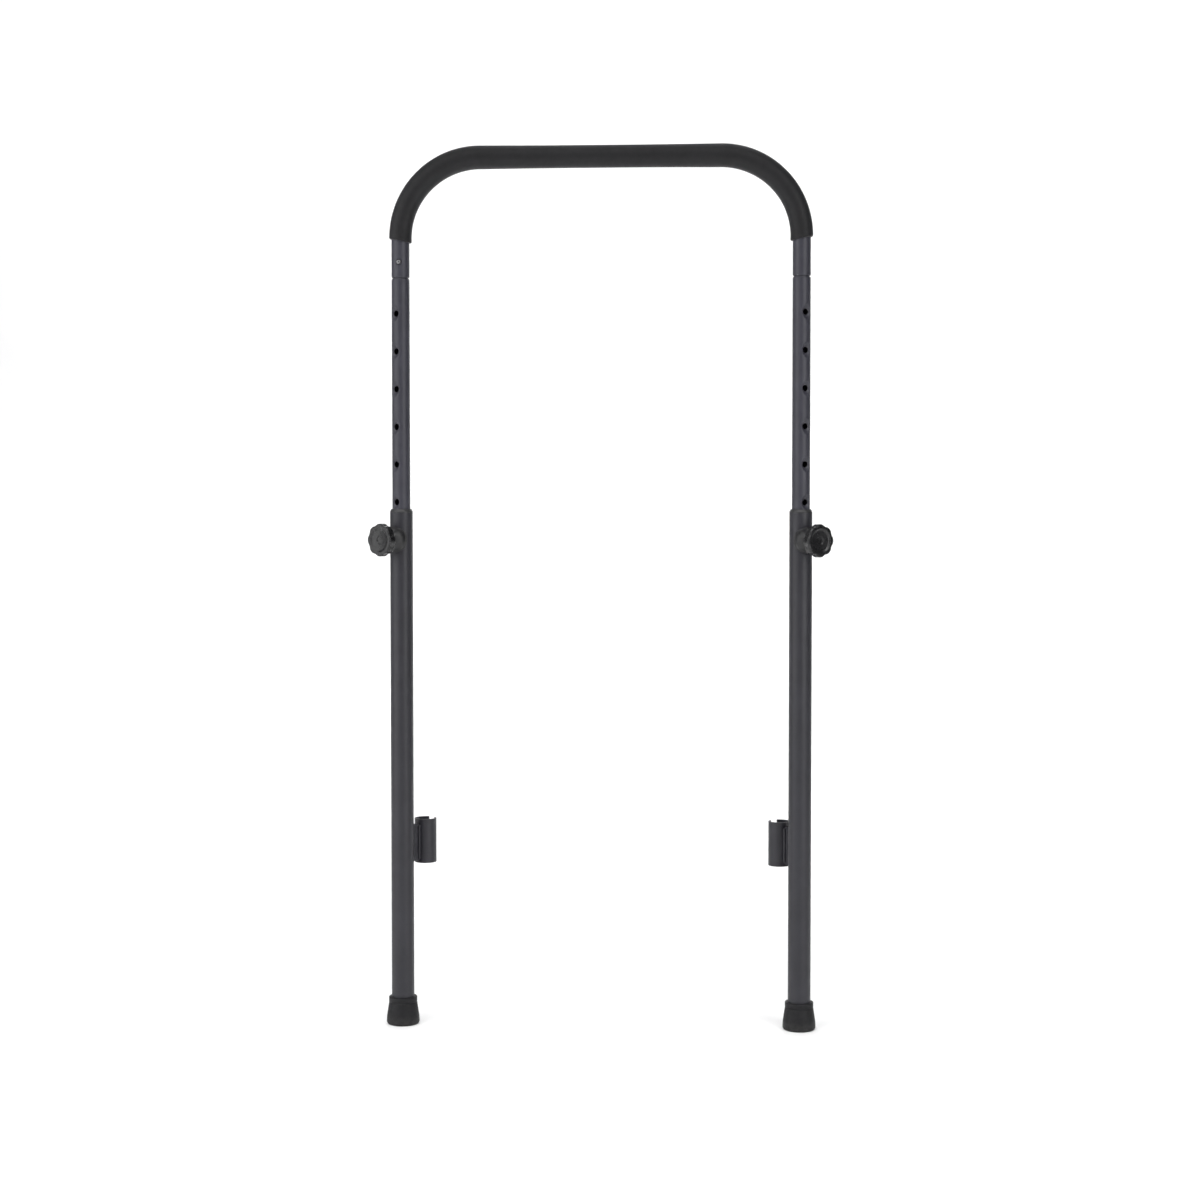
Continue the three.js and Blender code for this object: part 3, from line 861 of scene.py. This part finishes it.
def make_saddle(label, side):
    """A domed boss whose underside hugs the leg, with a lip round its skirt and a pocket for the nut.
    The lip is full at the skirt and fades out by lip_height."""
    angle = np.linspace(0, 2 * math.pi, 144, endpoint=False)
    heights = np.array([SADDLE_FOOT, 11 * MM, 13.5 * MM, 16 * MM, 18.5 * MM, 20 * MM, SADDLE_TOP])
    widths = SADDLE_R - np.array([0, 0, 0.6, 1.9, 3.4, 4.5, 5.4]) * MM
    skirt = hug_height(SADDLE_R, angle)
    rows = []
    lip, lip_height = 0.55 * MM, 1.5 * MM
    for share in np.concatenate([np.linspace(0, 0.06, 7)[1:], np.linspace(0.08, 1, 24)]):
        height = skirt + (SADDLE_TOP - 0.5 * MM - skirt) * share
        rise = (height - skirt) / lip_height
        flange = lip * (1 - smooth_step(rise * 2.2 - 1.2))
        rows.append(ring_row(np.interp(height, heights, widths) + flange - 0.2 * MM, height, angle))
    crown = np.interp(SADDLE_TOP - 0.5 * MM, heights, widths)
    pocket_top = NUT_TOP + 0.4 * MM
    for radius, height in (
        (crown - 0.55 * MM, SADDLE_TOP - 0.1 * MM),
        (crown - 1.1 * MM, SADDLE_TOP),
        (STUD_R + 1.2 * MM, SADDLE_TOP),
        (STUD_R + 0.8 * MM, SADDLE_TOP - 0.4 * MM),
        (STUD_R + 0.8 * MM, pocket_top),
        (NUT_POCKET_R, pocket_top),
    ):
        rows.append(ring_row(radius, height, angle))
    for radius in np.linspace(NUT_POCKET_R, SADDLE_R + lip - 0.3 * MM, 9):
        rows.append(ring_row(radius, hug_height(radius, angle), angle))
    shape = pointed_out(skin(np.array(rows), close_rows=True), side, side * KNOB_AZIMUTH, KNOB_Z)
    piece = build(f"{label}_saddle_boss", shape, SADDLE_PLASTIC)
    soften(piece, 0.12 * MM, 2, 50)
    return fit(piece, f"{label}_leg", "moulded_plastic", f"{label}_saddle")


def make_weld_nut(label, side):
    """A round nut with a real thread, its foot cut to the tube and welded round."""
    angle = np.linspace(0, 2 * math.pi, COLUMNS, endpoint=False)
    foot = hug_height(NUT_R, angle)
    rows = []
    for share in np.linspace(0, 1, 12):
        height = foot + (NUT_TOP - 0.6 * MM - foot) * share
        weld = NUT_WELD * (1 - smooth_step((height - foot) / NUT_WELD_HEIGHT))
        rows.append(ring_row(NUT_R + weld, height, angle))
    thread_end = HUG_R + 0.2 * MM
    rows.append(ring_row(NUT_R - 0.7 * MM, NUT_TOP, angle))
    rows.append(ring_row(STUD_R + 0.5 * MM, NUT_TOP, angle))
    turns = (NUT_TOP - thread_end) / THREAD_PITCH
    for height in np.linspace(NUT_TOP - 0.4 * MM, thread_end, int(turns * ROWS_PER_TURN)):
        rows.append(ring_row(thread_radius(height, angle) + THREAD_PLAY, height, angle))
    bore = STUD_R + THREAD_PLAY
    rows.append(ring_row(bore, thread_end, angle))
    for radius in np.linspace(bore, NUT_R, 4)[:-1]:
        rows.append(ring_row(radius, hug_height(radius, angle), angle))
    shape = pointed_out(skin(np.array(rows), close_rows=True), side, side * KNOB_AZIMUTH, KNOB_Z)
    piece = build(f"{label}_nut", shape, STEEL)
    return fit(piece, f"{label}_leg", "plated_steel", f"{label}_weld_nut")


# ---- Snap button and its spring ----


def make_button(label, side):
    flange, tip = 4.7 * MM, 12 * MM
    outline = [
        (0, flange - MM),
        (BUTTON_R + MM, flange - MM, 0.2 * MM),
        (BUTTON_R + MM, flange, 0.2 * MM),
        (BUTTON_R, flange),
        (BUTTON_R, tip - 0.9 * MM, 1.6 * MM),
        (BUTTON_R * 0.45, tip, 2.5 * MM),
        (0, tip),
    ]
    shape = pointed_out(turned(outline, 64), side, button_direction(label), BUTTON_Z)
    piece = build(f"{label}_button_pin", shape, DULL_STEEL)
    return fit(piece, f"{label}_button", "plated_steel", f"{label}_snap_button")


def make_button_spring(label, side):
    """A V of spring steel, one arm behind the button and the other against the tube, built as one fixed piece
    in its rest shape.
    """
    bend = np.array(rounded([
        (3.0 * MM, 8 * MM),
        (3.0 * MM, -4 * MM, 6 * MM),
        (-1.05 * MM, -30 * MM, 1.3 * MM),
        (-6.1 * MM, 0, 6 * MM),
        (-6.1 * MM, 8 * MM),
    ]))
    runs = []
    for a, b in zip(bend, bend[1:]):
        share = spaced(0, 1, 1 * MM / np.linalg.norm(b - a))[:-1, None]
        runs.append(share * (b - a) + a)
    line = np.concatenate([*runs, bend[-1:]])
    along = np.gradient(line, axis=0)
    along /= np.linalg.norm(along, axis=1, keepdims=True)
    thick, wide, edge = 0.35 * MM, 2.5 * MM, 0.2 * MM
    section = rounded([
        (thick, -wide, edge), (thick, wide, edge), (-thick, wide, edge), (-thick, -wide, edge),
    ])
    out = line[:, :1] + along[:, 1:] * section[:, 0]
    up = line[:, 1:] - along[:, :1] * section[:, 0]
    grid = np.stack([np.broadcast_to(section[:, 1], out.shape), up, out], -1)
    caps = [np.broadcast_to(grid[end].mean(0), (1, *grid.shape[1:])) for end in (0, -1)]
    direction = button_direction(label)
    shape = pointed_out(skin(np.concatenate([caps[0], grid, caps[1]])), side, direction, BUTTON_Z)
    piece = build(f"{label}_leaf_spring", shape, STEEL)
    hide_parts(f"{label}_button_spring")
    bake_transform(piece)
    return piece


# ---- Socket behind the leg ----

SOCKET_WALL = 2 * MM
SOCKET_NOTCH = 10 * MM
NOTCH_CORNER = 1.6 * MM
WEB_HALF = 2 * MM
WEB_BITE = 0.6 * MM  # how far the plate reaches into each tube's wall
BEAD_R = 1.5 * MM
BEAD_COLUMNS = 24
BEAD_STEP = 0.35 * MM
BEAD_FADE = 2 * MM
RIPPLE_LENGTH = 1.9 * MM


def socket_frame(label, side):
    """The socket's centre, and the direction from the leg to it."""
    centre = middle(f"{label}_socket_tube")
    return centre, math.atan2(centre.x - side * LEG_X, -centre.y)


def make_socket(label, side):
    low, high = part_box(f"{label}_socket_tube")
    radius = half_depth(f"{label}_socket_tube")
    centre, away = socket_frame(label, side)
    half_notch = math.asin(SOCKET_NOTCH / 2 / radius)
    notch_floor = high.z - SOCKET_NOTCH
    open_columns = np.linspace(-half_notch, half_notch, 13)
    closed_columns = np.linspace(half_notch, 2 * math.pi - half_notch, 84)[1:-1]
    columns = away + np.concatenate([open_columns, closed_columns])
    rows = np.concatenate([
        low.z + np.array([0, 0.6, 1.5]) * MM,
        spaced(low.z + 3 * MM, notch_floor, 4 * MM),
        spaced(notch_floor, high.z, 1.25 * MM)[1:],
    ])
    points = np.stack([
        np.broadcast_to(centre.x + radius * np.sin(columns), (len(rows), len(columns))),
        np.broadcast_to(centre.y - radius * np.cos(columns), (len(rows), len(columns))),
        np.broadcast_to(rows[:, None], (len(rows), len(columns))),
    ], -1)
    floor_row = int(np.argmin(abs(rows - notch_floor)))
    inset = half_notch * radius - np.abs(open_columns) * radius
    lift = NOTCH_CORNER - np.sqrt(np.maximum(NOTCH_CORNER**2 - np.maximum(NOTCH_CORNER - inset, 0) ** 2, 0))
    points[floor_row, : len(open_columns), 2] += lift
    vertices, faces = skin(points)
    count = len(columns)
    kept = [
        face for i, face in enumerate(faces)
        if not (i // count >= floor_row and i % count < len(open_columns) - 1)
    ]
    piece = build(f"{label}_socket", (vertices, kept), PAINT)
    thicken(piece, SOCKET_WALL, OUTER_EDGE)
    return fit(piece, f"{label}_leg", "painted_tube", f"{label}_socket_tube")


def weld_bead(corner, low, high):
    """A rippled fillet of weld that runs up a corner between two surfaces."""
    heights = np.arange(low, high, BEAD_STEP)
    angle = np.linspace(0, 2 * math.pi, BEAD_COLUMNS, endpoint=False)
    fade = np.minimum(heights - low, high - heights) / BEAD_FADE
    ripple = 1 + 0.1 * np.abs(np.sin((heights - low) * math.pi / RIPPLE_LENGTH))
    radius = BEAD_R * ripple * np.sqrt(np.clip(fade, 0.05, 1))
    x = corner[0] + radius[:, None] * np.cos(angle)
    y = corner[1] + radius[:, None] * np.sin(angle)
    grid = np.stack([x, y, np.broadcast_to(heights[:, None], x.shape)], -1)
    caps = [np.broadcast_to(np.array([*corner, h]), (1, BEAD_COLUMNS, 3)) for h in (low - 0.3 * MM, high)]
    return skin(np.concatenate([caps[0], grid, caps[1]]))


def make_web(label, side):
    """The plate between leg and socket, with a weld along each of its four corners."""
    low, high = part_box(f"{label}_socket_web")
    centre, away = socket_frame(label, side)
    socket_r = half_depth(f"{label}_socket_tube")
    out = np.array([math.sin(away), -math.cos(away)])
    across = np.array([math.cos(away), math.sin(away)])
    leg = np.array([side * LEG_X, 0])
    reach = np.linalg.norm(np.array([centre.x, centre.y]) - leg)
    near, far = LOWER_R - WEB_BITE, reach - socket_r + WEB_BITE
    plan = [(near, -WEB_HALF), (far, -WEB_HALF), (far, WEB_HALF), (near, WEB_HALF)]
    corners = [leg + out * along + across * wide for along, wide in plan]
    grid = np.array([[[*corner, level] for corner in corners] for level in (low.z, high.z)])
    vertices, faces = skin(grid)
    faces += [(3, 2, 1, 0), (4, 5, 6, 7)]
    beads = []
    for sign in (-1, 1):
        wide = sign * (WEB_HALF + 0.5 * MM)
        for along in (LOWER_R + 0.3 * MM, reach - socket_r - 0.3 * MM):
            corner = leg + out * along + across * wide
            beads.append(weld_bead(corner, low.z + MM, high.z - MM))
    plate = build(f"{label}_web_plate", (vertices, faces), PAINT)
    soften(plate, 0.5 * MM)
    welds = build(f"{label}_web_welds", joined(*beads), PAINT)
    fit(welds, f"{label}_leg", "painted_tube")
    return fit(plate, f"{label}_leg", "painted_tube", f"{label}_socket_web")


make_hoop()
make_sleeve()
for label, side in SIDES.items():
    make_inner_tube(label, side)
    make_outer_tube(label, side)
    make_bushing(label, side)
    make_glide(label, side)
    make_foot_washer(label, side)
    make_foot(label, side)
    make_saddle(label, side)
    make_weld_nut(label, side)
    make_knob_head(label, side)
    make_knob_stud(label, side)
    make_knob_washer(label, side)
    make_button(label, side)
    make_button_spring(label, side)
    make_socket(label, side)
    make_web(label, side)

# ---- Studio ----

FLOOR_HALF = 4.0
BACK_Y = 2.2
BACK_TOP = 4.5
SWEEP_R = 0.9
LENS = 64.7
EYE, TARGET = Vector((0.145, -2.4, 0.615)), Vector((0, 0, 0.52))
MIDDLE = (0, 0, 0.7)

# The world's strength at the horizon and overhead, and the share of it that is left towards +X.
WORLD_LEVEL, WORLD_TOP, WORLD_RIGHT = 0.27, 0.05, 0.25


def make_studio():
    """A pale seamless floor that sweeps up behind the object."""
    turn = np.linspace(0, math.pi / 2, 25)
    profile = [(-FLOOR_HALF, 0)]
    profile += [(BACK_Y - SWEEP_R + SWEEP_R * math.sin(a), SWEEP_R - SWEEP_R * math.cos(a)) for a in turn]
    profile.append((BACK_Y, BACK_TOP))
    points = np.array([[[x, y, z] for x in (-FLOOR_HALF, FLOOR_HALF)] for y, z in profile])
    faces = [(2 * i, 2 * i + 1, 2 * i + 3, 2 * i + 2) for i in range(len(profile) - 1)]
    paper = build("studio_paper", (points.reshape(-1, 3), faces), studio_floor())


def area_light(name, place, target, width, height, power, spread_angle=math.pi):
    lamp = bpy.data.lights.new(name, "AREA")
    lamp.shape = "RECTANGLE"
    lamp.spread = spread_angle
    lamp.size, lamp.size_y = width, height
    lamp.energy = power
    holder = bpy.data.objects.new(name, lamp)
    holder.location = place
    holder.rotation_euler = (Vector(target) - Vector(place)).to_track_quat("-Z", "Y").to_euler()
    bpy.context.scene.collection.objects.link(holder)


def make_camera():
    camera = bpy.data.cameras.new("camera")
    camera.lens = LENS
    camera.sensor_width = 36
    camera.shift_y = -0.03
    holder = bpy.data.objects.new("camera", camera)
    holder.location = EYE
    holder.rotation_euler = (TARGET - EYE).to_track_quat("-Z", "Y").to_euler()
    bpy.context.scene.collection.objects.link(holder)
    bpy.context.scene.camera = holder


def make_world():
    world = bpy.data.worlds.new("studio_air")
    world.use_nodes = True
    tree = world.node_tree
    background = tree.nodes["Background"]
    direction = node(tree, "ShaderNodeSeparateXYZ")
    tree.links.new(node(tree, "ShaderNodeTexCoord").outputs["Generated"], direction.inputs["Vector"])
    height = spread(tree, direction.outputs["Z"], WORLD_LEVEL, WORLD_TOP, 0, 0.7)
    across = spread(tree, direction.outputs["X"], 1, WORLD_RIGHT, 0.2, 0.9)
    strength = node(tree, "ShaderNodeMath", operation="MULTIPLY")
    tree.links.new(height, strength.inputs[0])
    tree.links.new(across, strength.inputs[1])
    tree.links.new(strength.outputs["Value"], background.inputs["Strength"])
    background.inputs["Color"].default_value = (0.96, 0.97, 1, 1)
    bpy.context.scene.world = world
    bpy.context.scene.view_settings.view_transform = "Standard"


make_studio()
make_world()
make_camera()
area_light("left_softbox", (-1.7, -1.0, 1.1), MIDDLE, 2.2, 2.6, 32)
area_light("right_softbox", (1.6, -1.6, 1.1), MIDDLE, 1.0, 2.6, 27)
area_light("backdrop_light", (0, 0.9, 3.2), (0, 2.0, 0.3), 4.0, 0.8, 40, math.radians(100))
area_light("floor_light", (0, -1.5, 2.6), (0, -1.1, 0), 4.0, 0.9, 30, math.radians(90))
